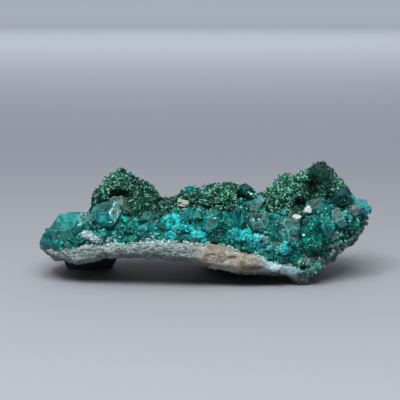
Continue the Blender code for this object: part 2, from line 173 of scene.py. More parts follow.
class Nodes:
    """A tree of shader nodes, and the one way that its nodes are made."""

    def __init__(self, tree):
        self.tree = tree
        self.tree.nodes.clear()

    def node(self, kind, settings=None, sockets=None, output=0):
        """Makes a node of that kind and gives back the named output, if the node has any."""
        made = self.tree.nodes.new("ShaderNode" + kind)
        for name, value in (settings or {}).items():
            setattr(made, name, value)
        for name, value in (sockets or {}).items():
            if isinstance(value, Wire):
                self.tree.links.new(value.socket, made.inputs[name])
            else:
                made.inputs[name].default_value = value
        return Wire(self, made.outputs[output]) if made.outputs else None

    def mix(self, share, first, second):
        """A colour between two, by the share of the second."""
        sockets = {MIX_SHARE: share, MIX_FIRST: colour_of(first), MIX_SECOND: colour_of(second)}
        return self.node("Mix", {"data_type": "RGBA"}, sockets, MIX_RESULT)

    def position(self):
        return self.node("TexCoord", output="Object")

    def noise(self, size, detail=3.0, roughness=0.55, squeeze=(1, 1, 1)):
        """Cloudy noise about 0.5, with lumps of about that size in millimetres, narrower where squeezed."""
        where = self.node("VectorMath", {"operation": "MULTIPLY"}, {0: self.position(), 1: squeeze})
        sockets = {"Vector": where, "Scale": 1 / (size * MM), "Detail": detail, "Roughness": roughness}
        return self.node("TexNoise", sockets=sockets)

    def grains(self, size):
        """Cells of about that size: the distance from the middle of each."""
        return self.node("TexVoronoi", sockets={"Vector": self.position(), "Scale": 1 / (size * MM)})

    def painted(self, name, output="Fac"):
        """What the piece's mesh holds under that name, as a number or else as a colour."""
        return self.node("Attribute", {"attribute_name": name}, output=output)


class Finish(Nodes):
    """A material made of nodes."""

    def __init__(self, name):
        self.material = bpy.data.materials.new(name)
        self.material.use_nodes = True
        super().__init__(self.material.node_tree)

    def bump(self, height, depth, strength=1.0):
        return self.node("Bump", sockets={"Height": height, "Distance": depth * MM, "Strength": strength})

    def clear_body(self, colour, density):
        """What fills a clear piece and tints the light that passes through."""
        return self.node("VolumeAbsorption", sockets={"Color": rgba(colour), "Density": density})

    def surface(self, body=None, **sockets):
        """The finished material, with these values on its shader and a clear body if one is given."""
        named = {name.replace("_", " "): value for name, value in sockets.items()}
        ends = {"Surface": self.node("BsdfPrincipled", sockets=named)}
        if body:
            ends["Volume"] = body
        self.node("OutputMaterial", sockets=ends)
        return self.material


def rgba(colour):
    return (*colour[:3], 1.0)


def colour_of(value):
    return value if isinstance(value, Wire) else rgba(value)


def blend(share, first, second):
    """A colour between two, by the share of the second."""
    return tuple(a + (b - a) * share for a, b in zip(first, second))


def mesh_object(name, verts, faces, paint=None, smooth=False):
    """A mesh object from points in millimetres, with named values at its points or at its faces' corners."""
    mesh = bpy.data.meshes.new(name)
    mesh.from_pydata((np.asarray(verts, float) * MM).tolist(), [], faces)
    mesh.update()
    for label, values in (paint or {}).items():
        values = np.asarray(values, np.float32)
        kind, key = ("FLOAT_COLOR", "color") if values.ndim == 2 else ("FLOAT", "value")
        domain = "POINT" if len(values) == len(verts) else "CORNER"
        layer = mesh.attributes.new(label, kind, domain)
        layer.data.foreach_set(key, values.ravel())
    if smooth:
        mesh.shade_smooth()
    made = bpy.data.objects.new(name, mesh)
    bpy.context.scene.collection.objects.link(made)
    return made


def settle(piece, material, replaces=()):
    """Gives a piece its material and its place on the specimen, and hides the CAD parts that it replaces."""
    piece.data.materials.append(material)
    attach(piece, "root")
    if replaces:
        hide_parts(*replaces)


def remeshed(node, voxel):
    """A CAD node's shape with a fine even skin: its points and faces, in millimetres."""
    made = bpy.data.objects.new("fine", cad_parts[node].data.copy())
    bpy.context.scene.collection.objects.link(made)
    modifier = made.modifiers.new("remesh", "REMESH")
    modifier.mode = "VOXEL"
    modifier.voxel_size = voxel * MM
    graph = bpy.context.evaluated_depsgraph_get()
    mesh = bpy.data.meshes.new_from_object(made.evaluated_get(graph))
    points = np.zeros(len(mesh.vertices) * 3)
    mesh.vertices.foreach_get("co", points)
    faces = [tuple(polygon.vertices) for polygon in mesh.polygons]
    bpy.data.objects.remove(made)
    return points.reshape(-1, 3) / MM, faces


def normals_of(points, faces):
    """The outward direction at each point of a mesh of four-sided faces."""
    quads = np.array(faces)
    first_diagonal = points[quads[:, 2]] - points[quads[:, 0]]
    second_diagonal = points[quads[:, 3]] - points[quads[:, 1]]
    face_normals = np.cross(first_diagonal, second_diagonal)
    normals = np.zeros_like(points)
    for corner in range(4):
        np.add.at(normals, quads[:, corner], face_normals)
    return normals / np.maximum(np.linalg.norm(normals, axis=1, keepdims=True), 1e-9)


def smoothed(points, faces, rounds):
    """The points after they have been drawn that many times towards the middle of their neighbours."""
    quads = np.array(faces)
    for _ in range(rounds):
        total = np.zeros_like(points)
        count = np.zeros(len(points))
        for a, b in ((0, 1), (1, 2), (2, 3), (3, 0)):
            np.add.at(total, quads[:, a], points[quads[:, b]])
            np.add.at(total, quads[:, b], points[quads[:, a]])
            np.add.at(count, quads[:, a], 1)
            np.add.at(count, quads[:, b], 1)
        points = 0.5 * points + 0.5 * total / np.maximum(count, 1)[:, None]
    return points


def lumps(points, size, octaves=3, seed=0.0):
    """Noise from about -1 to 1 at each point, with lumps of that size."""
    shift = Vector((seed, 1.7 * seed, -seed))
    values = []
    for point in points:
        where = Vector(point) / size + shift
        total, weight = 0.0, 1.0
        for _ in range(octaves):
            total += weight * noise.noise(where)
            where = where * 2.13
            weight *= 0.55
        values.append(total)
    return np.array(values)


def skin_of(node):
    """A CAD node's skin, in millimetres, for measuring distances and casting rays."""
    bm = bmesh.new()
    bm.from_mesh(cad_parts[node].data)
    bmesh.ops.transform(bm, matrix=Matrix.Scale(1 / MM, 4), verts=bm.verts[:])
    tree = BVHTree.FromBMesh(bm)
    bm.free()
    return tree


def depth_in(skin, point):
    """How deep a point lies under a closed skin, in millimetres. It is negative outside."""
    place, normal, _, distance = skin.find_nearest(point)
    return distance if (Vector(point) - place).dot(normal) < 0 else -distance


# The mounds of malachite, and the number of needles on each.
MOUNDS = {"malachite_mound_left": 5000, "malachite_ridge": 2400, "malachite_mound_right": 6200}
mound_skins = [skin_of(node) for node in MOUNDS]


def near_mound(point, gap):
    """Whether a point lies in a mound or closer to it than the gap."""
    return any(depth_in(skin, point) > -gap for skin in mound_skins)


def scatter(points, faces, count, seed):
    """Points picked at random all over a skin of four-sided faces, with the outward direction at each."""
    picker = np.random.default_rng(seed)
    corners = points[np.array(faces)]
    normals = np.cross(corners[:, 2] - corners[:, 0], corners[:, 3] - corners[:, 1]) / 2
    areas = np.linalg.norm(normals, axis=1)
    chosen = picker.choice(len(corners), count, p=areas / areas.sum())
    u, v = picker.random(count)[:, None], picker.random(count)[:, None]
    picked = corners[chosen]
    low = (1 - u) * picked[:, 0] + u * picked[:, 1]
    high = (1 - u) * picked[:, 3] + u * picked[:, 2]
    return (1 - v) * low + v * high, normals[chosen] / areas[chosen][:, None]


def scattered(skin, count, seed):
    """Points picked as scatter does, as pairs of vectors: the place and the outward direction."""
    return [(Vector(place), Vector(normal)) for place, normal in zip(*scatter(*skin, count, seed))]


# Faces smaller than NARROW_AREA on a solid of radius 1 are worn edges. They carry a painted highlight: the
# next value says how many times as light as the rest they are painted.
NARROW_AREA = 0.12
PAINTED_EDGE_HIGHLIGHT = 2.0

# A crystal of radius 1 is cut from a block this wide. The flats of its prism lie this far from its axis.
BLOCK_WIDTH = 2.6
PRISM_FLATS = 0.866

# The angle between the edges of a calcite crystal, in degrees.
RHOMB_ANGLE = 102


def solid_of(bm):
    """The points and faces of a small solid, which is then let go, and whether each face is a narrow one."""
    bmesh.ops.recalc_face_normals(bm, faces=bm.faces[:])
    bm.verts.index_update()
    points = np.array([vert.co[:] for vert in bm.verts])
    faces = [tuple(vert.index for vert in face.verts) for face in bm.faces]
    narrow = [face.calc_area() < NARROW_AREA for face in bm.faces]
    bm.free()
    return points, faces, narrow


def cut_gem(rng, length, wear=0.12, steepness=0.9, worn_edge=0.0, breaks=0):
    """A dioptase crystal of radius 1: a block cut down to a six-sided prism with a three-sided head.

    Its point is at the origin, and its root is at -length along z. Breaks are further flat cuts at its head.
    """
    bm = bmesh.new()
    bmesh.ops.create_cube(bm, size=BLOCK_WIDTH)
    stretch = Matrix.Diagonal((1, 1, length / BLOCK_WIDTH, 1))
    bmesh.ops.transform(bm, matrix=Matrix.Translation((0, 0, -length / 2)) @ stretch, verts=bm.verts[:])
    planes = []
    for side in range(6):
        angle = math.radians(60 * side + 30)
        normal = Vector((math.cos(angle), math.sin(angle), rng.uniform(-0.03, 0.05)))
        planes.append((normal, PRISM_FLATS * rng.uniform(1 - wear * 1.5, 1 + wear * 0.4)))
    for side in range(3):
        angle = math.radians(120 * side)
        normal = Vector((steepness * math.cos(angle), steepness * math.sin(angle), 1))
        planes.append((normal, -rng.uniform(0, wear * 2.2)))
    for _ in range(breaks):
        angle = rng.uniform(0, math.tau)
        normal = Vector((math.cos(angle), math.sin(angle), rng.uniform(0.2, 1.2)))
        planes.append((normal, rng.uniform(-0.35, 0.3)))
    for normal, distance in planes:
        normal = normal.normalized()
        geom = bm.verts[:] + bm.edges[:] + bm.faces[:]
        where = normal * distance
        cut = bmesh.ops.bisect_plane(bm, geom=geom, plane_co=where, plane_no=normal, clear_outer=True)
        rim = [item for item in cut["geom_cut"] if isinstance(item, bmesh.types.BMEdge)]
        if rim:
            bmesh.ops.contextual_create(bm, geom=rim)
    if worn_edge:
        bmesh.ops.remove_doubles(bm, verts=bm.verts[:], dist=worn_edge * 0.5)
        edges = bm.edges[:]
        bmesh.ops.bevel(bm, geom=edges, offset=worn_edge, segments=1, affect="EDGES", clamp_overlap=True)
    return solid_of(bm)


def cut_rhomb():
    """A calcite crystal of edge 1: a cube squeezed along one of its diagonals."""
    cosine = math.cos(math.radians(RHOMB_ANGLE))
    squeeze = math.sqrt((1 + 2 * cosine) / (1 - cosine))
    bm = bmesh.new()
    bmesh.ops.create_cube(bm, size=1.0)
    shape = Matrix.Scale(squeeze, 4, Vector((1, 1, 1)).normalized())
    bmesh.ops.transform(bm, matrix=shape, verts=bm.verts[:])
    bmesh.ops.bevel(bm, geom=bm.edges[:], offset=0.05, segments=1, affect="EDGES")
    return solid_of(bm)


def cut_needle(rng):
    """A malachite crystal 1 long and wide: a four-sided prism with a slanting end, rooted at the origin."""
    ring = [(0.5, 0), (0, 0.4), (-0.5, 0), (0, -0.4)]
    low = [(x * 0.8, y * 0.8, 0.0) for x, y in ring]
    high = [(x, y, 0.9 + rng.uniform(-0.15, 0.1)) for x, y in ring]
    sides = [(i, (i + 1) % 4, 4 + (i + 1) % 4, 4 + i) for i in range(4)]
    faces = [(3, 2, 1, 0), *sides, (4, 5, 6), (4, 6, 7)]
    return np.array(low + high), faces, [False] * len(faces)


def cut_grain(rng):
    """A rough grain of radius about 1."""
    bm = bmesh.new()
    bmesh.ops.create_icosphere(bm, subdivisions=1, radius=1.0)
    for vert in bm.verts:
        vert.co *= rng.uniform(0.7, 1.15)
    return solid_of(bm)


def facing(direction, turn):
    """The rotation that takes +z to the direction and keeps +y upwards but for the turn, as an array."""
    quaternion = Vector(direction).to_track_quat("Z", "Y")
    return np.array(quaternion.to_matrix() @ Matrix.Rotation(turn, 3, "Z"))


def jitter(rng, reach):
    return Vector([rng.uniform(-reach, reach) for _ in range(3)])


class Cluster:
    """Many small solids gathered into one mesh, with a tint at each corner and a chance for each solid."""

    def __init__(self, name):
        self.name = name
        self.points, self.faces, self.tints, self.chances = [], [], [], []
        self.count = 0

    def add(self, shape, matrix, place, tint, rng, painted_shading=0.0):
        """Adds a solid. Where a share is given, its faces carry painted shading, each painted lighter or
        darker by up to that share, and its worn edges a painted highlight.
        """
        points, faces, narrow = shape
        face_light = [PAINTED_EDGE_HIGHLIGHT if edge else rng.uniform(1 - painted_shading, 1 + 0.3 * painted_shading) for edge in narrow]
        tints = np.clip(np.outer(face_light if painted_shading else np.ones(len(faces)), tint), 0, 0.95)
        tints = np.column_stack((tints, np.ones(len(faces))))
        moved = points @ np.asarray(matrix).T + np.asarray(place)
        self.points.append(moved)
        self.faces.extend(tuple(self.count + i for i in face) for face in faces)
        self.tints.append(np.repeat(tints, [len(face) for face in faces], axis=0))
        self.chances.append(np.full(len(points), rng.random()))
        self.count += len(points)

    def make(self, material, slot, replaces=()):
        paint = {"tint": np.concatenate(self.tints), "chance": np.concatenate(self.chances)}
        made = mesh_object(self.name, np.concatenate(self.points), self.faces, paint)
        settle(made, material, replaces)


# Tints of dioptase and of what grows with it.
DEEP = (0.002, 0.11, 0.09)
GREEN = (0.007, 0.42, 0.33)
TEAL = (0.016, 0.55, 0.53)
BRIGHT = (0.03, 0.76, 0.73)
TURQUOISE = (0.03, 0.80, 0.83)
MILKY = (0.14, 0.50, 0.45)
GREY = (0.25, 0.46, 0.43)
WHITE = (0.74, 0.84, 0.84)
PALE = (0.22, 0.78, 0.76)
FROST = (0.66, 0.84, 0.90)
EMERALD = (0.01, 0.66, 0.42)
# SHADED is a painted shade tint, for crystals and grains that lie in shadow.
SHADED = (0.03, 0.085, 0.08)
DUSKY = (0.004, 0.20, 0.17)

# Places where tufts of malachite grow on the dioptase: the middle and half sizes in pixels.
MOSSY = (
    (170, 201, 15, 12),
    (160, 214, 7, 5),
    (93, 213, 5, 7),
    (225, 208, 14, 4),
)

# What each kind of dioptase crystal is like: how much light passes, how fast it fades, and the share and the
# size in millimetres of its pale veils.
GLASS = {
    "block": (0.7, 120.0, 0.6, 1.8),
    "long": (0.5, 200.0, 0.2, 2.2),
    "clear": (0.5, 200.0, 0.25, 2.2),
    "cloudy": (0.5, 120.0, 0.45, 2.2),
    "milky": (0.45, 60.0, 0.6, 2.0),
    "small": (0.35, 200.0, 0.35, 0.8),
    "fine": (0.35, 200.0, 0.35, 0.8),
}

# How a single crystal of each kind is cut: its length in radii, how uneven it is, how far it leans from the
# listed direction, how often it is broken, and how far it stands out in radii.
HABITS = {
    "block": {"length": 2.2, "wear": 0.05, "lean": 0.0, "breaks": 0, "out": 0.25},
    "long": {"length": 4.2, "wear": 0.12, "lean": 0.0, "breaks": 1, "out": 0.5},
    "clear": {"length": 2.2, "wear": 0.22, "lean": 0.4, "breaks": 2, "out": 0.5},
    "cloudy": {"length": 2.2, "wear": 0.22, "lean": 0.4, "breaks": 2, "out": 0.5},
    "milky": {"length": 2.2, "wear": 0.10, "lean": 0.1, "breaks": 2, "out": 0.6},
}

# The slope of a straight crystal's head, and the width of its worn edges at radius 1.
FLAT_HEAD = 0.4
WORN_EDGE = 0.03

# The crystals that the photograph shows singly: the pixel that the head is seen at, the radius in
# millimetres, the direction it points in, its turn about that in degrees, its tint and its kind.
HEROES = (
    (68, 230, 5.7, (-0.10, -0.92, 0.33), 2, (0.06, 0.94, 0.87), "block"),
    (49, 241, 3.1, (-0.30, -0.88, 0.25), 15, TURQUOISE, "block"),
    (57, 243, 2.2, (-0.10, -0.95, 0.15), 30, TEAL, "clear"),
    (72, 243, 2.3, (0.15, -0.95, 0.15), 10, GREEN, "clear"),
    (81, 237, 1.9, (0.15, -0.90, 0.30), 50, GREEN, "clear"),
    (87, 224, 1.5, (0.10, -0.80, 0.55), 20, MILKY, "milky"),
    (94, 223, 2.0, (-0.10, -0.85, 0.50), 40, GREEN, "clear"),
    (107, 213, 4.2, (-0.12, -0.84, 0.50), 0, BRIGHT, "block"),
    (121, 206, 3.2, (0.10, -0.90, 0.42), 25, (0.26, 0.54, 0.49), "block"),
    (124, 219, 2.4, (0.10, -0.92, 0.35), 0, GREEN, "clear"),
    (117, 235, 2.2, (0.00, -0.95, 0.15), 25, TEAL, "clear"),
    (101, 232, 1.5, (0.10, -0.90, 0.30), 40, BRIGHT, "cloudy"),
    (134, 230, 2.3, (0.10, -0.95, 0.20), 10, GREEN, "clear"),
    (149, 220, 3.0, (0.05, -0.88, 0.45), 0, TEAL, "block"),
    (146, 229, 2.3, (-0.15, -0.92, 0.25), 15, TEAL, "clear"),
    (160, 226, 1.9, (0.10, -0.90, 0.35), 35, GREEN, "clear"),
    (213, 226, 2.7, (0.05, -0.88, 0.45), 20, TEAL, "clear"),
    (226, 222, 2.0, (-0.10, -0.85, 0.50), 40, GREEN, "clear"),
    (200, 218, 2.1, (0.10, -0.80, 0.60), 10, GREEN, "clear"),
    (242, 214, 2.6, (0.05, -0.80, 0.60), 30, TEAL, "clear"),
    (260, 206, 3.0, (0.35, -0.80, 0.48), 15, GREY, "milky"),
    (259, 222, 3.0, (0.25, -0.94, 0.12), 5, MILKY, "milky"),
    (248, 197, 3.0, (0.10, -0.93, 0.32), 20, DUSKY, "clear"),
    (256, 195, 2.2, (0.35, -0.70, 0.60), 10, DUSKY, "clear"),
    (269, 242, 2.2, (0.00, -0.95, 0.20), 20, TEAL, "clear"),
    (283, 249, 1.9, (-0.10, -0.92, 0.30), 10, TURQUOISE, "cloudy"),
    (286, 230, 4.3, (-0.10, -0.85, 0.52), 25, MILKY, "milky"),
    (302, 238, 2.9, (0.20, -0.92, 0.20), 10, GREEN, "cloudy"),
    (296, 252, 2.6, (0.10, -0.97, 0.10), 0, GREEN, "clear"),
    (312, 246, 2.6, (0.20, -0.95, 0.10), 20, GREEN, "clear"),
    (323, 237, 3.2, (0.30, -0.90, 0.20), 30, TEAL, "clear"),
    (308, 224, 2.6, (0.05, -0.88, 0.40), 0, GREEN, "clear"),
    (319, 207, 3.2, (0.15, -0.80, 0.55), 15, TEAL, "block"),
    (327, 221, 2.8, (0.25, -0.85, 0.40), 40, TEAL, "cloudy"),
    (342, 217, 3.4, (0.30, -0.85, 0.42), 20, MILKY, "milky"),
    (358, 224, 2.5, (0.78, -0.45, 0.42), 10, GREEN, "long"),
    (354, 208, 2.4, (0.35, -0.80, 0.40), 15, (0.45, 0.72, 0.69), "milky"),
    (362, 202, 2.2, (0.35, -0.80, 0.50), 30, (0.10, 0.90, 0.90), "milky"),
    (366, 208, 1.7, (0.50, -0.80, 0.30), 10, (0.10, 0.90, 0.90), "milky"),
    (321, 259, 1.8, (0.40, -0.85, -0.20), 10, SHADED, "clear"),
    (329, 252, 1.8, (0.45, -0.85, -0.15), 30, DUSKY, "clear"),
    (337, 246, 1.8, (0.40, -0.85, -0.20), 0, SHADED, "clear"),
    (340, 238, 2.6, (0.40, -0.88, 0.10), 20, GREEN, "clear"),
    (345, 239, 1.8, (0.40, -0.85, -0.15), 20, DUSKY, "clear"),
    (352, 232, 1.8, (0.40, -0.85, -0.10), 40, SHADED, "clear"),
    (358, 224, 1.7, (0.45, -0.80, 0.00), 10, DUSKY, "clear"),
    (361, 217, 1.7, (0.45, -0.80, 0.10), 30, GREEN, "clear"),
    (103, 219, 1.8, (-0.10, -0.90, 0.35), 10, TURQUOISE, "cloudy"),
    (346, 195, 2.8, (0.40, -0.70, 0.58), 0, DUSKY, "block"),
    (336, 192, 2.0, (-0.10, -0.75, 0.65), 20, GREY, "cloudy"),
    (188, 187, 2.2, (-0.25, -0.45, 0.85), 0, TURQUOISE, "clear"),
)

# Patches that the photograph shows in one tint: the middle and half sizes in pixels, and the tint.
PATCHES = (
    (173, 222, 9, 9, TURQUOISE),
    (171, 236, 6, 6, TURQUOISE),
    (188, 227, 6, 5, TURQUOISE),
    (199, 235, 9, 5, TURQUOISE),
    (240, 234, 13, 7, TURQUOISE),
    (258, 238, 9, 5, TURQUOISE),
    (283, 250, 5, 8, TURQUOISE),
    (368, 205, 6, 10, TURQUOISE),
    (103, 220, 6, 7, TURQUOISE),
    (87, 236, 4, 4, WHITE),
    (98, 240, 5, 4, WHITE),
    (111, 241, 5, 3, WHITE),
    (147, 240, 8, 3, WHITE),
    (150, 235, 9, 5, GREY),
    (88, 216, 5, 6, GREY),
    (247, 221, 4, 6, GREY),
    (275, 247, 7, 5, GREY),
    (305, 262, 8, 7, GREY),
    (330, 251, 8, 5, GREY),
    (345, 240, 8, 4, SHADED),
)


# Patches in these tints colour the crumbs, and not the crystals.
PALE_TINTS = (WHITE, GREY)

# The lower right rim is painted dark in shaded tints, as painted shade. It lies right of RIM_LEFT and under a
# line that rises to the right from RIM_CORNER, all in pixels.
RIM_LEFT = 300
RIM_CORNER = (318, 264)
RIM_SLOPE = 0.95

# Dioptase is brighter to the left of this pixel, fully so after this many more.
BRIGHTER_FROM = 240
BRIGHTER_OVER = 180


def patch_tint(rng, x, y):
    """The tint of the patch that a pixel lies in, or None outside them all."""
    for *oval, tint in PATCHES:
        if off_middle(x, y, oval) < rng.uniform(0.6, 1.5):
            return tint
    return None


def crystal_tint(rng, place, crumb=False):
    """A tint for a small crystal or a crumb, by where the photograph shows it."""
    x, y = (float(value[0]) for value in seen_at(place))
    patch = patch_tint(rng, x, y)
    if patch in PALE_TINTS and crumb:
        return blend(rng.random() ** 2, patch, PALE)
    if x > RIM_LEFT and y > RIM_CORNER[1] - (x - RIM_CORNER[0]) * RIM_SLOPE:
        return blend(rng.random() ** 2, blend(rng.random() ** 4, SHADED, GREY), DEEP)
    if patch in PALE_TINTS:
        return TEAL if x < BRIGHTER_FROM else GREEN
    if patch:
        return blend(rng.uniform(0, 0.3), patch, TEAL)
    left = min(1.0, max(0.0, (BRIGHTER_FROM - x) / BRIGHTER_OVER))
    roll = rng.random()
    if any(in_box(x, y, box) for box in MOSSY):
        return GREEN if roll < 0.3 else DEEP
    if roll < 0.07:
        return blend(rng.random(), MILKY, PALE)
    if roll < 0.20 + 0.12 * left:
        return BRIGHT
    if roll < 0.50 + 0.12 * left:
        return TEAL
    return GREEN if roll < 0.78 else DEEP


# Painted shading: the faces of one crystal are painted darker than its tint by up to this share, as if each
# facet caught the light differently. Grains differ more, calcites less.
FACET_PAINTED_SHADING = 0.6
GRAIN_PAINTED_SHADING = 0.7
CALCITE_PAINTED_SHADING = 0.3

# How many smaller crystals grow out of a single one.
HERO_TWINS = 3


def plant(cluster, rng, gem, tip, direction, turn, radius, tint, twins):
    """Adds a crystal, and smaller ones that have grown out of it side by side with it."""
    matrix = facing(direction, turn)
    cluster.add(gem, matrix * radius, tip, tint, rng, FACET_PAINTED_SHADING)
    for _ in range(twins):
        angle = rng.uniform(0, math.tau)
        away = rng.uniform(0.35, 0.75) * radius
        size = rng.uniform(0.3, 0.6) * radius
        local = Vector((away * math.cos(angle), away * math.sin(angle), -away * rng.uniform(0.35, 0.8)))
        place = Vector(matrix @ np.array(local)) + Vector(tip)
        cluster.add(gem, matrix * size, place, blend(rng.uniform(0, 0.3), tint, TEAL), rng, FACET_PAINTED_SHADING)


class Stem:
    """Where a single crystal stands: its head, the way that it points and its radius."""

    def __init__(self, tip, direction, radius):
        self.tip, self.direction, self.radius = tip, direction, radius

    def holds(self, place):
        """Whether a point is well inside the crystal."""
        offset = place - self.tip
        along = offset.dot(self.direction)
        return along < -0.2 and (offset - self.direction * along).length < self.radius * 0.65


def first_seen(x, y, skins):
    """Where the line of sight through a pixel first meets one of the skins, or None."""
    start, sight = photo_ray(x, y)
    hits = [skin.ray_cast(start, sight) for skin in skins]
    met = [hit for hit in hits if hit[0] is not None]
    return min(met, key=lambda hit: hit[3])[0] if met else None


def plant_heroes(clusters, skins):
    """Plants the crystals that the photograph shows singly. Each has random numbers of its own."""
    stems = []
    for x, y, radius, direction, turn, tint, kind in HEROES:
        rng = random.Random(PHOTO_SIDE * y + x)
        place = first_seen(x, y, skins)
        if place is None:
            continue
        habit = HABITS[kind]
        steepness = rng.uniform(0.35, 1.0) if habit["lean"] else FLAT_HEAD
        gem = cut_gem(rng, habit["length"], habit["wear"], steepness, WORN_EDGE, habit["breaks"])
        direction = (Vector(direction).normalized() + jitter(rng, habit["lean"])).normalized()
        tip = place + direction * radius * habit["out"]
        turned = math.radians(turn + rng.uniform(-6, 6))
        plant(clusters[kind], rng, gem, tip, direction, turned, radius, tint, HERO_TWINS)
        stems.append(Stem(tip, direction, radius))
    return stems


# How many shapes the small crystals, the grains in patches and the crumbs are each picked from.
SMALL_SHAPES = 18
PATCH_SHAPES = 8
GRAIN_SHAPES = 6


def set_veils(cluster, stems, seed):
    """Thin flaws inside the single crystals, which catch the light."""
    rng = random.Random(seed)
    grains = [cut_grain(rng) for _ in range(GRAIN_SHAPES)]
    for stem in stems:
        for _ in range(int(stem.radius ** 2 * 2)):
            matrix = facing(stem.direction, rng.uniform(0, math.tau))
            away = stem.radius * 0.75 * math.sqrt(rng.random())
            depth = rng.uniform(0.5, 0.5 + stem.radius)
            place = Vector(matrix @ np.array((away, 0, -depth))) + stem.tip
            size = rng.uniform(0.15, 0.7)
            flat = np.diag((size, size * rng.uniform(0.3, 0.8), size * 0.12))
            tint = blend(rng.random() ** 6, rng.choice((EMERALD, BRIGHT, PALE)), WHITE)
            cluster.add(rng.choice(grains), facing(jitter(rng, 1.0), 0.0) @ flat, place, tint, rng)


# How far small crystals and grains may stand on ground that turns down: the lowest upward part of a normal.
LOWEST_SLOPE = -0.6


def plant_small_crystals(cluster, skin, count, sizes, rise, steepest, stems, seed):
    """Small crystals of those sizes all over a skin, but for the mounds and the single crystals."""
    rng = random.Random(seed)
    gems = []
    for index in range(SMALL_SHAPES):
        length, steepness = rng.uniform(1.8, 2.6), rng.uniform(0.6, 1.1)
        gems.append(cut_gem(rng, length, 0.16, steepness, breaks=index % 3))
    for place, normal in scattered(skin, count, seed):
        radius = sizes[0] + (sizes[1] - sizes[0]) * rng.random() ** 2
        if normal.z < steepest or near_mound(place, radius * 0.4):
            continue
        if any(stem.holds(place) for stem in stems):
            continue
        direction = (normal + jitter(rng, 0.7)).normalized()
        tip = place + direction * radius * rng.uniform(*rise)
        turn, twins = rng.uniform(0, math.tau), int(rng.random() < 0.5)
        plant(cluster, rng, rng.choice(gems), tip, direction, turn, radius, crystal_tint(rng, place), twins)


def crust_of(clusters, rock):
    """The skin that the rock and all the crystals show together, for laying crumbs on."""
    rock_points, rock_faces = rock
    points = np.concatenate([rock_points, *(part for cluster in clusters for part in cluster.points)])
    faces, start = list(rock_faces), len(rock_points)
    for cluster in clusters:
        faces.extend(tuple(start + i for i in face) for face in cluster.faces)
        start += cluster.count
    return BVHTree.FromPolygons([Vector(point) for point in points], faces)


# A crumb falls from CAST_FROM above the massive dioptase, and few lie more than HIGHEST_CRUMB above it.
CAST_FROM = 4.0
HIGHEST_CRUMB = 0.7


def strew_crumbs(cluster, crust, core, count, seed):
    """Crumbs of crystal, most of them in the dips between the larger crystals."""
    rng = random.Random(seed)
    grains = [cut_grain(rng) for _ in range(GRAIN_SHAPES)]
    for place, normal in scattered(core, count, seed):
        if normal.z < LOWEST_SLOPE or near_mound(place, 0.3):
            continue
        hit, _, _, distance = crust.ray_cast(place + normal * CAST_FROM, -normal)
        rise = CAST_FROM - distance if hit else 0.0
        if rise > HIGHEST_CRUMB:
            if rng.random() > 0.3:
                continue
            rise = 0.0
        size = rng.uniform(0.14, 0.36)
        spot = place + normal * (rise + size * 0.3)
        tint = crystal_tint(rng, spot, crumb=True)
        if tint in (GREEN, DEEP, TEAL, BRIGHT) and rng.random() < 0.75:
            continue
        # Painted glints: a few crumbs are painted white.
        if rng.random() < 0.02:
            tint = blend(rng.random(), WHITE, GREY)
        cluster.add(rng.choice(grains), facing(normal, 0.0) * size, spot, tint, rng)


# Granular patches: the middle and half sizes in pixels, the number of grains and their tint.
SPRINKLES = (
    (87, 235, 5, 4, 70, FROST),
    (97, 240, 6, 3, 70, FROST),
    (111, 241, 5, 3, 50, FROST),
    (147, 241, 8, 3, 80, FROST),
    (81, 221, 4, 6, 25, PALE),
    (88, 216, 4, 5, 45, MILKY),
    (258, 237, 5, 3, 30, FROST),
    (241, 234, 14, 6, 220, TURQUOISE),
    (256, 238, 7, 3, 50, TURQUOISE),
    (173, 221, 8, 7, 130, TURQUOISE),
    (171, 236, 5, 4, 60, TURQUOISE),
    (199, 235, 8, 3, 80, TURQUOISE),
    (188, 227, 4, 3, 35, TURQUOISE),
    (283, 250, 4, 6, 45, TURQUOISE),
    (305, 262, 8, 4, 30, FROST),
    (277, 246, 5, 4, 40, GREY),
    (316, 264, 9, 6, 90, SHADED),
    (313, 268, 8, 6, 70, GREEN),
    (316, 262, 9, 5, 30, MILKY),
    (337, 247, 10, 6, 60, SHADED),
    (307, 274, 9, 6, 60, SHADED),
    (307, 273, 9, 6, 40, MILKY),
    (275, 252, 12, 6, 50, BRIGHT),
)


def sprinkle(cluster, crust, seed):
    """Grains laid over the crystals in patches."""
    rng = random.Random(seed)
    gems = [cut_gem(rng, rng.uniform(1.4, 2.2), 0.2, rng.uniform(0.5, 1.1)) for _ in range(PATCH_SHAPES)]
    for x, y, half_x, half_y, count, tint in SPRINKLES:
        for _ in range(count):
            angle, away = rng.uniform(0, math.tau), math.sqrt(rng.random())
            start, sight = photo_ray(x + half_x * away * math.cos(angle), y + half_y * away * math.sin(angle))
            place = crust.ray_cast(start, sight)[0]
            if place is None:
                continue
            size = 0.2 + 0.5 * rng.random() ** 2
            share = rng.uniform(0, 0.7)
            shown = blend(share, tint, rng.choice((BRIGHT, TEAL, PALE)) if tint is TURQUOISE else GREY)
            direction = (jitter(rng, 1.0) - sight).normalized()
            matrix = facing(direction, 0.0) * size
            cluster.add(rng.choice(gems), matrix, place + direction * size, shown, rng, GRAIN_PAINTED_SHADING)


# Pale grains line the seam up to this far right, and not where the rock turns further down than this.
SEAM_END = 25
SEAM_SLOPE = -0.35


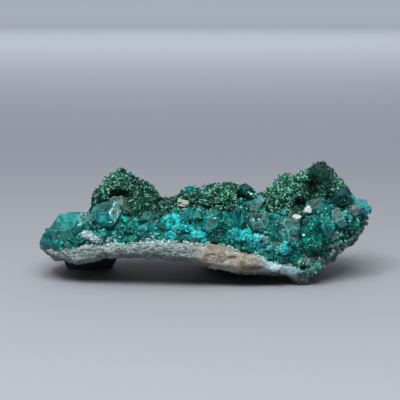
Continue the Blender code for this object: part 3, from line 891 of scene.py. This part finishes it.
def line_the_seam(cluster, rock, druse_skin, count, seed):
    """Pale grains where the druse meets the rock, in patches."""
    rng = random.Random(seed)
    grains = [cut_grain(rng) for _ in range(GRAIN_SHAPES)]
    for place, normal in scattered(rock, count, seed):
        nearest = druse_skin.find_nearest(place)[0]
        if normal.z < SEAM_SLOPE or nearest.z < place.z - 0.2 or place.x > SEAM_END:
            continue
        patchy = noise.noise(place / 4.0) + 0.4 * noise.noise(place / 1.2)
        if (nearest - place).length > 0.4 + 0.6 * patchy:
            continue
        size = rng.uniform(0.15, 0.38)
        tint = blend(rng.random() ** 1.5, WHITE, GREY) if rng.random() < 0.7 else MILKY
        spot = place + normal * rng.uniform(0.0, 0.5)
        cluster.add(rng.choice(grains), facing(normal, 0.0) * size, spot, tint, rng)


def make_druse_core():
    """The massive dioptase between and under the single crystals."""
    points, faces = remeshed("dioptase_druse", CORE_VOXEL)
    points = smoothed(points, faces, 3)
    rock = skin_of("matrix")
    clearance = np.array([rock.find_nearest(Vector(point))[3] for point in points])
    inset = CORE_INSET * np.clip(clearance / CORE_CLEARANCE, 0, 1)
    points = points - normals_of(points, faces) * inset[:, None]
    points = smoothed(points, faces, 2)
    rough = lumps(points, size=1.6, octaves=2, seed=4.0)[:, None] * 0.35
    return points + normals_of(points, faces) * rough, faces


# Where the rock sags towards the table round two of its feet: the middle, the half sizes and the depth.
BELLIES = (
    (-33.5, 8.5, 13.0, 12.0, 9.0),
    (2.5, 9.0, 9.0, 12.0, 4.0),
)

# The feet seen in front are slimmer than the plain ones: the point that each is drawn towards, its reach and
# height, and by how much along the specimen's length and its depth.
SLIM_FEET = (
    (-33.5, 9.0, 14.0, 6.5, 0.15, 0.6),
    (24.8, -9.0, 9.0, 5.5, 0.3, 0.3),
)

# The rock is painted dark as shade under this height, but for its right end. The painted shade fades in over
# the depth.
SHADE_PAINTED_BELOW = 5.6
SHADE_PAINTED_FADE = 1.2
SHADE_PAINTED_TO_X = 20

# Rusty pits and stains on the pale rock: the middle and half sizes in pixels, and the strength.
RUST = (
    (213, 254, 3.5, 1.2, 0.9),
    (232, 257, 4.5, 1.8, 1.0),
    (222, 262, 3, 1.0, 0.7),
    (243, 264, 3, 1.2, 0.8),
    (250, 268, 14, 3.0, 0.9),
    (206, 265, 5, 2.5, 0.7),
)


def rust_share(points):
    """How rusty each point of the rock's front is, from 0 to 1."""
    x, y = seen_at(points)
    ragged = 0.5 * lumps(points, size=0.9, octaves=3, seed=6.0)
    share = np.zeros(len(points))
    for *oval, strength in RUST:
        share = np.maximum(share, strength * np.clip(1.3 - off_middle(x, y, oval) + ragged, 0, 1))
    return share * (points[:, 1] < 0)


def make_rock():
    """The slab of rock: its points, its faces, and how much painted shade and how much rust it has at each
    point.
    """
    points, faces = remeshed("matrix", ROCK_VOXEL)
    normals = normals_of(points, faces)
    coarse = 0.4 * lumps(points, size=3.2, octaves=3, seed=2.0)
    fine = 0.32 * lumps(points, size=0.9, octaves=2, seed=9.0)
    points = points + normals * (coarse + fine)[:, None]
    for *oval, drop in BELLIES:
        inside = np.clip(1 - off_middle(points[:, 0], points[:, 1], oval), 0, 1)
        points[:, 2] -= drop * inside * np.clip(-normals[:, 2] * 2, 0, 1)
    for x, y, reach, height, narrowed, set_back in SLIM_FEET:
        near = np.clip(reach - np.hypot(points[:, 0] - x, points[:, 1] - y), 0, 1)
        drawn = near * np.clip((height - points[:, 2]) / 3, 0, 1)
        points[:, 0] += (x - points[:, 0]) * drawn * narrowed
        points[:, 1] += (y - points[:, 1]) * drawn * set_back
    points[:, 2] = np.maximum(points[:, 2], 0.0)
    points[:, 0] = np.minimum(points[:, 0], RIGHT_END - END_ROUNDING * np.abs(points[:, 1]))
    # Painted shade: faces that turn downwards, and the rock low down by its feet, are painted dark.
    under = np.clip(-normals[:, 2] * 1.5 - 0.25, 0, 1)
    low = np.clip((SHADE_PAINTED_BELOW - points[:, 2]) / SHADE_PAINTED_FADE, 0, 1) * (points[:, 0] < SHADE_PAINTED_TO_X)
    return points, faces, {"shade": np.maximum(under, low), "rust": rust_share(points)}


# Hollows in the mounds as the photograph shows them: the middle and half sizes in pixels, and the depth.
HOLLOWS = (
    (119, 195, 13, 7, 3.6),
    (102, 203, 8, 4, 1.6),
    (313, 189, 11, 14, 4.5),
    (300, 205, 12, 8, 2.4),
    (166, 205, 14, 8, 2.0),
)


def hollow_share(points, normals):
    """How far each point lies in a hollow, from 0 to 1, and how deep the hollow is there."""
    x, y = seen_at(points)
    back = np.array(camera_axes()[2])
    turned_to_us = np.clip(normals @ back * 2.0 + 0.3, 0, 1)
    share, depth = np.zeros(len(points)), np.zeros(len(points))
    for *oval, deep in HOLLOWS:
        inside = np.clip(1.15 - off_middle(x, y, oval), 0, 1) * turned_to_us
        share = np.maximum(share, inside)
        depth = np.maximum(depth, inside * deep)
    return share, depth


# Needles stand this many pixels above a mound's body, which is raised or lowered by this much at the most.
NEEDLE_RISE = 2.6
MOST_LIFT = 3.0


def fit_to_skyline(points):
    """Raises or lowers each upright slice of a mound until its top is seen where the photograph has it."""
    x, y = seen_at(points)
    columns = np.arange(x.min(), x.max() + 1, 2.0)
    tops = np.array([y[np.abs(x - column) < 2.5].min() for column in columns])
    wanted = np.interp(columns, *zip(*SKYLINE)) + NEEDLE_RISE
    lifts = np.clip((tops - wanted) * MM_PER_PIXEL, -MOST_LIFT, MOST_LIFT)
    lifts = np.convolve(np.pad(lifts, 1, mode="edge"), (0.25, 0.5, 0.25), mode="valid")
    lift = np.interp(x, columns, lifts)
    base = points[:, 2].min()
    share = np.clip((points[:, 2] - base) / (points[:, 2].max() - base), 0, 1)
    points = points.copy()
    points[:, 2] += lift * share ** 0.7
    return points


def make_mound(node, seed):
    """The lump of malachite under a mound's needles."""
    points, faces = remeshed(node, MOUND_VOXEL)
    points = smoothed(points, faces, 2)
    push = -0.5 + 0.7 * lumps(points, size=2.2, octaves=3, seed=seed)
    points = fit_to_skyline(points + normals_of(points, faces) * push[:, None])
    normals = normals_of(points, faces)
    depth = hollow_share(points, normals)[1]
    back = np.array(camera_axes()[2])
    return points - back * depth[:, None], faces


# Tints of malachite, from the palest, also used as painted glints and painted light, to the darkest, also
# used as painted shade in hollows.
MINT = (0.40, 0.90, 0.68)
JADE = (0.07, 0.44, 0.28)
FOREST = (0.015, 0.11, 0.07)
NIGHT = (0.003, 0.018, 0.011)

# Painted light on the mounds: where their needles are painted brighter as lit sides, or duller as painted
# shade where the last value is negative: the middle and half sizes in pixels, and by how much.
PAINTED_LIGHT_SIDES = (
    (105, 180, 20, 18, 1.0),
    (283, 190, 20, 24, 1.0),
    (215, 195, 26, 12, 0.8),
    (339, 176, 7, 9, 1.0),
    (298, 174, 12, 7, 1.0),
    (320, 171, 15, 14, -0.9),
    (142, 200, 22, 18, -0.2),
)


# Needles are painted dark as shade where they lie this far in a hollow, all but the rest of this share.
HOLLOW_EDGE = 0.25
PAINTED_SHADE_IN_HOLLOW = 0.72

# The share of needles that are at least as light as each tint, and how much it grows where painted light
# brightens them.
TINT_SHARES = (
    (MINT, 0.13, 0.14),
    (JADE, 0.25, 0.28),
    (FOREST, 0.5, 0.22),
)


def malachite_tint(rng, x, y, hollow):
    """A tint for a needle, by where the photograph shows it, with painted light on the lit sides and painted
    shade in the hollows.
    """
    painted_light = 0.0
    for *oval, amount in PAINTED_LIGHT_SIDES:
        here = amount * min(1.0, max(0.0, 1.4 - off_middle(x, y, oval)))
        painted_light = here if abs(here) > abs(painted_light) else painted_light
    roll = rng.random()
    if hollow > HOLLOW_EDGE:
        return NIGHT if roll < PAINTED_SHADE_IN_HOLLOW else blend(rng.random() ** 2, FOREST, MINT)
    for tint, share, growth in TINT_SHARES:
        if roll < share + growth * painted_light:
            return tint
    return NIGHT


def mossy_faces(points, faces):
    """The faces of the massive dioptase that tufts of malachite grow on."""
    quads = np.array(faces)
    middles = points[quads].mean(axis=1)
    x, y = seen_at(middles)
    upward = normals_of(points, faces)[quads[:, 0], 2] > -0.2
    grown = np.zeros(len(quads), bool)
    for box in MOSSY:
        grown |= in_box(x, y, box) & upward
    return [face for face, kept in zip(faces, grown) if kept]


# The lengths and widths of needles, and how many shapes there are.
NEEDLE_LENGTHS = (0.8, 1.9)
NEEDLE_WIDTHS = (0.24, 0.48)
NEEDLE_SHAPES = 8


def grow_needles(cluster, points, faces, count, seed):
    """Needles that lie and stand every way on a skin, the upright ones shorter."""
    rng = random.Random(seed)
    needles = [cut_needle(rng) for _ in range(NEEDLE_SHAPES)]
    places, normals = scatter(points, faces, count, seed)
    shares = hollow_share(places, normals)[0]
    x, y = seen_at(places)
    for index, (place, normal) in enumerate(zip(places, normals)):
        direction = (Vector(normal) * 0.4 + jitter(rng, 1.0)).normalized()
        length = rng.uniform(*NEEDLE_LENGTHS) * (1 - 0.5 * max(0.0, direction.dot(Vector(normal))))
        width = rng.uniform(*NEEDLE_WIDTHS)
        matrix = facing(direction, rng.uniform(0, math.tau)) @ np.diag((width, width, length))
        root = Vector(place) - direction * length * 0.5
        tint = malachite_tint(rng, x[index], y[index], shares[index])
        cluster.add(rng.choice(needles), matrix, root, tint, rng)


# What dioptase does to light: its veils' colour, and the colour that its clear body lets through.
VEIL_TINT = (0.30, 0.70, 0.62)
BODY_TINT = (0.06, 0.86, 0.78)
DIOPTASE_IOR = 1.66
CRUMB_IOR = 1.6
MALACHITE_IOR = 1.7
CALCITE_IOR = 1.55


def dioptase(name, transmission, density, veil, flaw_size):
    """Dioptase: green glass, with pale veils where it is cloudy."""
    finish = Finish(name)
    tint = finish.painted("tint", "Color")
    shadowed = finish.node("VectorMath", {"operation": "SCALE"}, {0: tint, "Scale": 0.4})
    flaws = finish.noise(flaw_size, 3.0, 0.6)
    colour = finish.mix(flaws.step(0.42, 0.54), shadowed, tint)
    cloud = finish.noise(0.8 * flaw_size, 5.0, 0.75).step(0.50, 0.66) * veil
    colour = finish.mix(cloud, colour, VEIL_TINT)
    grooves = finish.noise(0.8, 2.0, 0.5)
    return finish.surface(
        body=finish.clear_body(BODY_TINT, density),
        Base_Color=colour,
        Roughness=0.05 + 0.2 * finish.noise(1.8, 2.0) * finish.painted("chance"),
        IOR=DIOPTASE_IOR,
        Specular_IOR_Level=0.3,
        Transmission_Weight=transmission,
        Subsurface_Weight=1.0,
        Subsurface_Radius=(0.2, 1.0, 0.9),
        Subsurface_Scale=0.5 * MM,
        Normal=finish.bump(grooves, 0.08, 0.5),
    )


def crumb_material():
    finish = Finish("crumbs")
    tint = finish.painted("tint", "Color")
    shine = 0.15 + 0.3 * finish.painted("chance")
    return finish.surface(Base_Color=tint, Roughness=shine, IOR=CRUMB_IOR, Specular_IOR_Level=0.35)


# The darkest and the plain tint of the massive dioptase.
CORE_DARK = (0.001, 0.045, 0.037)
CORE_GREEN = (0.003, 0.18, 0.14)


def core_material():
    finish = Finish("massive_dioptase")
    blotch = finish.noise(2.0, 4.0, 0.6)
    colour = finish.mix(blotch.step(0.35, 0.55), CORE_DARK, CORE_GREEN)
    colour = finish.mix(blotch.step(0.58, 0.75), colour, GREEN)
    return finish.surface(
        Base_Color=colour,
        Roughness=0.2,
        IOR=CRUMB_IOR,
        Specular_IOR_Level=0.3,
        Normal=finish.bump(finish.grains(0.55), 0.3),
    )


# Each stretch of the rock in its darkest and palest tint.
ROCK_TINTS = ((0.03, 0.05, 0.047), (0.45, 0.56, 0.54))
TAN_TINTS = ((0.36, 0.27, 0.18), (0.55, 0.53, 0.45))
BLUE_TINTS = ((0.05, 0.13, 0.15), (0.60, 0.86, 0.92))
DARK_GREEN_TINTS = ((0.01, 0.035, 0.032), (0.13, 0.20, 0.17))

# Where each stretch begins and is full, and where the tan one ends, along the specimen's length.
TAN_START, TAN_END = (-8, 0), (12, 18)
BLUE_START = (12, 17)
DARK_GREEN_START = (23, 27)

# What else colours the rock.
LAYER_TINT = (0.13, 0.18, 0.175)
FLECK_TINT = (0.03, 0.045, 0.042)
PIT_TINT = (0.10, 0.06, 0.035)
RUST_TINT = (0.17, 0.075, 0.03)
# The painted shade under the rock and low down by its feet.
PAINTED_UNDERSIDE_SHADE = (0.07, 0.077, 0.073)


def rock_material():
    """Pale grey rock, tan in its middle, blue towards the right and dark green at the right end, with painted
    shade underneath and by its feet.
    """
    finish = Finish("pale_rock")
    across = finish.node("SeparateXYZ", sockets={"Vector": finish.position()}, output="X") * (1 / MM)
    across = across + (finish.noise(5.0, 2.0) - 0.5) * 9.0
    speck = finish.noise(0.6, 4.0, 0.75, (0.5, 1, 1.5))
    cloud = finish.noise(3.0, 3.0, 0.6)
    layer = finish.noise(2.0, 3.0, 0.6, (0.3, 1, 1.4))
    base = finish.mix(speck.step(0.34, 0.60), *ROCK_TINTS)
    base = finish.mix(layer.step(0.45, 0.7) * 0.5, base, LAYER_TINT)
    tan = finish.mix(cloud.step(0.35, 0.65), *TAN_TINTS)
    base = finish.mix(across.step(*TAN_START) * (1 - across.step(*TAN_END)) * 0.75, base, tan)
    blue = finish.mix(speck.step(0.32, 0.54), *BLUE_TINTS)
    base = finish.mix(across.step(*BLUE_START) * 0.85, base, blue)
    green = finish.mix(speck.step(0.4, 0.62), *DARK_GREEN_TINTS)
    base = finish.mix(across.step(*DARK_GREEN_START) * 0.95, base, green)
    fleck = finish.noise(0.5, 2.0, 0.5, (0.7, 1, 1)).step(0.62, 0.68)
    base = finish.mix(fleck * 0.8, base, FLECK_TINT)
    pit = finish.noise(1.4, 3.0, 0.7).step(0.66, 0.72)
    base = finish.mix(pit * 0.7, base, PIT_TINT)
    base = finish.mix(finish.painted("rust"), base, RUST_TINT)
    # Painted shade: darkens the underside and the low parts by the feet.
    base = finish.mix(finish.painted("shade"), base, PAINTED_UNDERSIDE_SHADE)
    return finish.surface(Base_Color=base, Roughness=0.85, Normal=finish.bump(speck, 0.3, 0.9))


def malachite_material():
    finish = Finish("malachite_needles")
    colour = finish.mix(finish.noise(0.6) * 0.5, finish.painted("tint", "Color"), FOREST)
    shine = 0.2 + 0.3 * finish.painted("chance")
    return finish.surface(Base_Color=colour, Roughness=shine, IOR=MALACHITE_IOR)


def malachite_body_material():
    finish = Finish("malachite_body")
    colour = finish.mix(finish.noise(1.2).step(0.35, 0.7), NIGHT, FOREST)
    return finish.surface(Base_Color=colour, Roughness=0.6, Specular_IOR_Level=0.2)


# The dirt between the grains of the calcite.
DIRT_TINT = (0.20, 0.26, 0.22)


def calcite_material():
    finish = Finish("calcite")
    speck = finish.noise(0.5, 3.0, 0.7)
    colour = finish.mix(speck.step(0.36, 0.5), DIRT_TINT, finish.painted("tint", "Color"))
    return finish.surface(Base_Color=colour, Roughness=0.3, IOR=CALCITE_IOR, Normal=finish.bump(speck, 0.1))


# The calcite crystals, their tints and their sizes in shares of the plain ones'. Each is broken into so many,
# which face the front.
BROKEN_INTO = 5
CALCITE_FACING = Vector((0.2, -0.8, 0.5))
CALCITES = (
    ("left", FROST, 0.75),
    ("centre", (0.52, 0.60, 0.42), 1.3),
    ("right", (0.74, 0.78, 0.76), 1.25),
    ("upper", (0.74, 0.80, 0.80), 1.25),
)


def break_calcites(material):
    """Small broken crystals of calcite in place of each plain one."""
    rng = random.Random(5)
    rhomb = cut_rhomb()
    for node, tint, growth in CALCITES:
        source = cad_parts["calcite_crystal_" + node]
        corners = np.array([vert.co[:] for vert in source.data.vertices]) / MM
        middle = Vector(corners.mean(axis=0))
        size = float(np.linalg.norm(corners - corners.mean(axis=0), axis=1).min()) * growth
        cluster = Cluster("calcite_" + node)
        turn = rng.uniform(0, math.tau)
        for index in range(BROKEN_INTO):
            place = middle + jitter(rng, size * 0.55) * (index > 0)
            scale = size * (1.15 if index == 0 else rng.uniform(0.4, 0.7))
            matrix = facing(CALCITE_FACING + jitter(rng, 0.25), turn) * scale
            cluster.add(rhomb, matrix, place, tint, rng, CALCITE_PAINTED_SHADING)
        cluster.make(material, "calcite", ["calcite_crystal_" + node])


# The studio's floor reaches far back. Its tone is painted darker from FRONT_Y to BACK_Y, as painted light
# falloff, changes at SEAM_Y as where a backdrop begins, and further back as a backdrop's does.
FLOOR_HALF = 3000.0
FRONT_Y, BACK_Y = -260.0, 200.0
SEAM_Y = 150.0
SEAM_HALF = 25.0
BACKDROP_TOP_Y = 900.0
FLOOR_FRONT = (0.41, 0.423, 0.455)
FLOOR_BACK = (0.325, 0.341, 0.375)
BACKDROP_LOW = (0.317, 0.34, 0.389)
BACKDROP_HIGH = (0.85, 0.90, 1.0)

# The studio's lamps: where each is, its size, its power in watts and whether the specimen mirrors it. The
# small ones make the glints on its crystals and needles.
SPARKLE = ((70, 70), 0.28, True)
LAMPS = {
    "key_light": ((-70, -290, 480), (420, 300), 2.7, False),
    "back_light": ((0, 620, 200), (900, 250), 0.6, False),
    "sparkle_light_0": ((-200, -260, 460), *SPARKLE),
    "sparkle_light_1": ((150, -300, 430), *SPARKLE),
    "sparkle_light_2": ((-60, 60, 600), *SPARKLE),
    "backdrop_light": ((0, 950, 520), (900, 300), 0.7, False),
}

# The light from all round: its tones near the horizon and overhead, and its strength.
SKY_LOW = (0.10, 0.11, 0.125)
SKY_HIGH = (0.84, 0.89, 0.98)
SKY_STRENGTH = 0.5


def softbox(name, place, size, power, mirrored):
    data = bpy.data.lights.new(name, "AREA")
    data.shape = "RECTANGLE"
    data.size, data.size_y = size[0] * MM, size[1] * MM
    data.energy = power
    lamp = bpy.data.objects.new(name, data)
    lamp.location = Vector(place) * MM
    lamp.rotation_euler = (Vector(place) - AIM).to_track_quat("Z", "Y").to_euler()
    lamp.visible_glossy = mirrored
    bpy.context.scene.collection.objects.link(lamp)


def make_stage():
    """A floor that is painted darker towards the back, as painted light falloff, and changes tone behind the
    specimen as a backdrop does, and the studio's lights.
    """
    half = FLOOR_HALF
    corners = [(-half, -half, 0), (half, -half, 0), (half, half, 0), (-half, half, 0)]
    floor = mesh_object("studio_floor", corners, [(0, 1, 2, 3)])
    finish = Finish("studio_floor")
    depth = finish.node("SeparateXYZ", sockets={"Vector": finish.position()}, output="Y")
    beyond = depth.step((SEAM_Y - SEAM_HALF) * MM, (SEAM_Y + SEAM_HALF) * MM)
    colour = finish.mix(depth.step(FRONT_Y * MM, BACK_Y * MM), FLOOR_FRONT, FLOOR_BACK)
    colour = finish.mix(beyond, colour, BACKDROP_LOW)
    colour = finish.mix(depth.step(SEAM_Y * MM, BACKDROP_TOP_Y * MM), colour, BACKDROP_HIGH)
    floor.data.materials.append(finish.surface(Base_Color=colour, Roughness=0.9, Specular_IOR_Level=0.1))
    for name, lamp in LAMPS.items():
        softbox(name, *lamp)
    world = bpy.data.worlds.new("studio")
    world.use_nodes = True
    sky = Nodes(world.node_tree)
    upward = sky.node("TexCoord", output="Generated")
    height = sky.node("SeparateXYZ", sockets={"Vector": upward}, output="Z")
    colour = sky.mix(height.step(0.25, 0.95), SKY_LOW, SKY_HIGH)
    light = sky.node("Background", sockets={"Color": colour, "Strength": SKY_STRENGTH})
    sky.node("OutputWorld", sockets={"Surface": light})
    bpy.context.scene.world = world
    bpy.context.scene.view_settings.view_transform = "Standard"


make_camera()
make_stage()

druse_skin = skin_of("dioptase_druse")
rock_points, rock_faces, rock_paint = make_rock()
rock = mesh_object("rough_rock", rock_points, rock_faces, rock_paint, smooth=True)
settle(rock, rock_material(), ["matrix"])

core = make_druse_core()
core_piece = mesh_object("massive_dioptase", *core, smooth=True)
settle(core_piece, core_material(), ["dioptase_druse"])
clusters = {kind: Cluster(f"{kind}_crystals") for kind in GLASS}
stems = plant_heroes(clusters, [druse_skin, *mound_skins])
plant_small_crystals(
    clusters["small"], core, count=4800, sizes=(0.45, 1.4), rise=(0.6, 1.1), steepest=LOWEST_SLOPE,
    stems=stems, seed=21,
)
rim_faces = [face for face in rock_faces if RIGHT_RIM[0] < rock_points[face[0], 0] < RIGHT_RIM[1]]
plant_small_crystals(
    clusters["fine"], (rock_points, rim_faces), count=2200, sizes=(0.25, 0.75), rise=(-0.3, 0.2),
    steepest=-0.95, stems=stems, seed=22,
)
crumb_finish = crumb_material()
crumbs = Cluster("crumbs")
crust = crust_of(clusters.values(), (rock_points, rock_faces))
strew_crumbs(crumbs, crust, core, count=12000, seed=23)
patches = Cluster("grain_patches")
sprinkle(patches, crust, seed=26)
patches.make(crumb_finish, "dioptase")
line_the_seam(crumbs, (rock_points, rock_faces), druse_skin, count=30000, seed=24)
set_veils(crumbs, stems, seed=25)
crumbs.make(crumb_finish, "dioptase")
for kind, cluster in clusters.items():
    cluster.make(dioptase(f"{kind}_dioptase", *GLASS[kind]), "dioptase")

needle_finish = malachite_material()
body_finish = malachite_body_material()
for number, (node, needle_count) in enumerate(MOUNDS.items()):
    points, faces = make_mound(node, seed=30.0 + number)
    body = mesh_object(node + "_body", points, faces, smooth=True)
    settle(body, body_finish, [node])
    needles = Cluster(node + "_needles")
    grow_needles(needles, points, faces, needle_count, seed=40 + number)
    needles.make(needle_finish, "malachite")

tufts = Cluster("malachite_tufts")
tuft_ground = core[0] + normals_of(*core) * 0.5
grow_needles(tufts, tuft_ground, mossy_faces(*core), count=1500, seed=50)
tufts.make(needle_finish, "malachite")

break_calcites(calcite_material())
